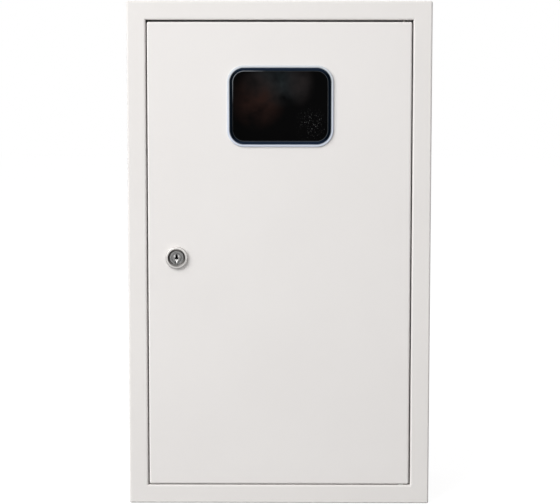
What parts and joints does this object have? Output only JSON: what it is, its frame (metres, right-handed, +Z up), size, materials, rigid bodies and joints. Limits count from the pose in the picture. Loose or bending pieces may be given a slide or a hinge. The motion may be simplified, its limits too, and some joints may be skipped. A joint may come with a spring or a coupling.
{
  "type": "electric meter box",
  "caption": "Folded steel wall box with a framed, lockable door on hidden pins, a rounded viewing window, and a meter plate, rail and earth bar inside.",
  "frame": {"origin": "on the flat back face, in the middle of the four wall fixing holes", "axes": "+Y out of the back into the wall, -Y out of the door, +Z up, +X to the right as seen from the front"},
  "size_m": [0.3, 0.153, 0.5],
  "materials": {
    "cabinet_paint": "fine powder coat, satin",
    "door_paint": "fine powder coat, satin",
    "window_plastic": "smoked clear plastic, polished",
    "lock_nickel": "nickel plate, polished",
    "lock_face": "nickel plate, brushed",
    "zinc_plate": "bright zinc plate",
    "spring_steel": "drawn spring wire",
    "terminal_brass": "drawn brass",
    "black_rubber": "soft rubber",
    "white_nylon": "moulded nylon"
  },
  "bodies": {
    "cabinet": {"body_shell": "cabinet_paint", "stop_brackets": "cabinet_paint", "meter_plate": "zinc_plate", "din_rail": "zinc_plate", "plate_posts": "zinc_plate", "plate_nuts": "zinc_plate", "rail_posts": "zinc_plate", "bar_posts": "zinc_plate", "earth_stud": "zinc_plate", "earth_nut": "zinc_plate", "earth_bar": "terminal_brass", "stop_buffers": "black_rubber", "thrust_washer": "white_nylon"},
    "door": {"door_panel": "door_paint", "lower_pin": "zinc_plate", "pin_bracket": "door_paint", "window_lens": "window_plastic", "lock_housing": "lock_nickel", "lock_nut": "zinc_plate", "door_stud": "zinc_plate", "door_stud_nut": "zinc_plate"},
    "hinge_pin": {"upper_pin": "zinc_plate", "pin_clip": "zinc_plate", "pin_spring": "spring_steel"},
    "lock_core": {"lock_plug": "lock_face", "lock_wafers": "lock_face", "lock_cam": "zinc_plate", "cam_screw": "zinc_plate"}
  },
  "joints": [
    {"name": "door_hinge", "type": "hinge", "parent": "cabinet", "child": "door", "pos_m": [0.1227, -0.1452, 0], "axis": [0, 0, 1], "range_deg": [0, 120]},
    {"name": "lock_turn", "type": "hinge", "parent": "door", "child": "lock_core", "pos_m": [-0.1017, -0.15, -0.0024], "axis": [0, 1, 0], "range_deg": [0, 90]},
    {"name": "pin_pull", "type": "slide", "parent": "door", "child": "hinge_pin", "axis": [0, 0, -1], "range_m": [0, 0.006], "stiffness_N_per_m": 300, "springref_m": -0.01, "deforming": ["pin_spring"]}
  ]
}
